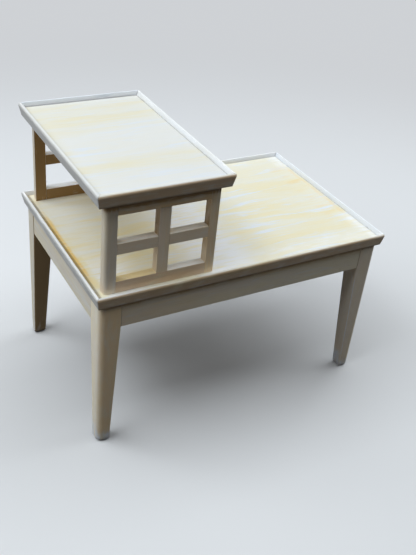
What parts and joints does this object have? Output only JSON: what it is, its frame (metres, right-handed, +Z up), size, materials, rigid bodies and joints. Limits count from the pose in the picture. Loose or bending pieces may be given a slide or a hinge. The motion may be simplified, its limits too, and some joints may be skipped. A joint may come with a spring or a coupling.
{
  "type": "step end table",
  "caption": "Step end table: a low rimmed tray top on tapered legs, with a smaller raised tray over one end on open window-lattice supports.",
  "frame": {"origin": "on the floor under the middle of the low top", "axes": "+X along the low top away from the step end, +Y from front to back, +Z up"},
  "size_m": [0.69, 0.452, 0.595],
  "materials": {
    "panel_wood": "limed, worn in streaks along the grain, satin",
    "rim_wood": "limed, satin",
    "frame_wood": "limed, satin",
    "lattice_wood": "limed, satin",
    "inner_wood": "bare, matt",
    "screw_steel": "dull",
    "glide_steel": "dark, worn"
  },
  "bodies": {
    "root": {"lower_panel": "panel_wood", "lower_rim_front": "rim_wood", "lower_rim_right": "rim_wood", "lower_rim_back": "rim_wood", "lower_rim_left": "rim_wood", "step_panel": "panel_wood", "step_rim_front": "rim_wood", "step_rim_right": "rim_wood", "step_rim_back": "rim_wood", "step_rim_left": "rim_wood", "apron_front": "frame_wood", "apron_back": "frame_wood", "apron_left": "frame_wood", "apron_right": "frame_wood", "leg_front_left": "frame_wood", "glide_front_left": "glide_steel", "corner_brace_front_left": "inner_wood", "brace_screw_front_left": "screw_steel", "leg_front_right": "frame_wood", "glide_front_right": "glide_steel", "corner_brace_front_right": "inner_wood", "brace_screw_front_right": "screw_steel", "leg_back_right": "frame_wood", "glide_back_right": "glide_steel", "corner_brace_back_right": "inner_wood", "brace_screw_back_right": "screw_steel", "leg_back_left": "frame_wood", "glide_back_left": "glide_steel", "corner_brace_back_left": "inner_wood", "brace_screw_back_left": "screw_steel", "top_cleat_front": "inner_wood", "cleat_screw_front_left": "screw_steel", "cleat_screw_front_right": "screw_steel", "lattice_front_outer_stile": "lattice_wood", "lattice_front_inner_stile": "lattice_wood", "lattice_front_top_rail": "lattice_wood", "lattice_front_bottom_rail": "lattice_wood", "lattice_front_mullion": "lattice_wood", "lattice_front_cross_bar_left": "lattice_wood", "lattice_front_cross_bar_right": "lattice_wood", "lattice_front_dowel_foot_left": "inner_wood", "lattice_front_dowel_foot_right": "inner_wood", "lattice_front_dowel_head_left": "inner_wood", "lattice_front_dowel_head_right": "inner_wood", "top_cleat_back": "inner_wood", "cleat_screw_back_left": "screw_steel", "cleat_screw_back_right": "screw_steel", "lattice_back_outer_stile": "lattice_wood", "lattice_back_inner_stile": "lattice_wood", "lattice_back_top_rail": "lattice_wood", "lattice_back_bottom_rail": "lattice_wood", "lattice_back_mullion": "lattice_wood", "lattice_back_cross_bar_left": "lattice_wood", "lattice_back_cross_bar_right": "lattice_wood", "lattice_back_dowel_foot_left": "inner_wood", "lattice_back_dowel_foot_right": "inner_wood", "lattice_back_dowel_head_left": "inner_wood", "lattice_back_dowel_head_right": "inner_wood"}
  },
  "joints": []
}
